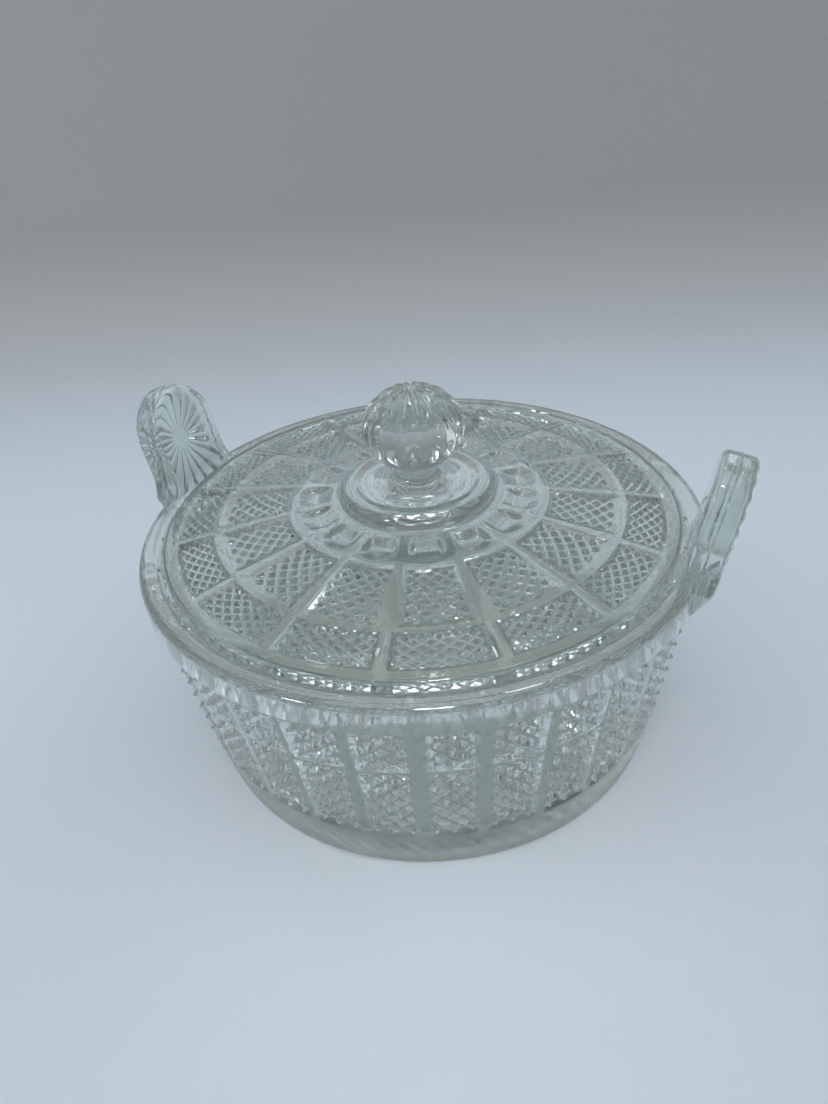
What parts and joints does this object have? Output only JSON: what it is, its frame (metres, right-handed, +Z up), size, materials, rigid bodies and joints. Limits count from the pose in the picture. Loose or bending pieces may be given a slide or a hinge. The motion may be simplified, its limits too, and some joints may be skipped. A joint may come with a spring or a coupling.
{
  "type": "covered glass candy dish",
  "caption": "Round pressed-glass candy dish with a flared bowl, upright round-topped handles on the rim and a lift-off domed lid with a ball knob.",
  "frame": {"origin": "centre of the foot, on the surface that the dish stands on", "axes": "+Z up through the knob, X through the two handles"},
  "size_m": [0.1652, 0.15, 0.1012],
  "materials": {
    "dish_glass": "fire-polished clear pressed glass, faint grey-green tint",
    "lid_glass": "fire-polished clear pressed glass, faint grey-green tint"
  },
  "bodies": {
    "dish": {"bowl": "dish_glass", "handle_left": "dish_glass", "handle_right": "dish_glass"},
    "cover": {"lid": "lid_glass", "lid_knob": "lid_glass"}
  },
  "joints": [
    {"name": "lid_lift", "type": "slide", "parent": "dish", "child": "cover", "axis": [0, 0, 1], "range_m": [0, 0.06]}
  ]
}
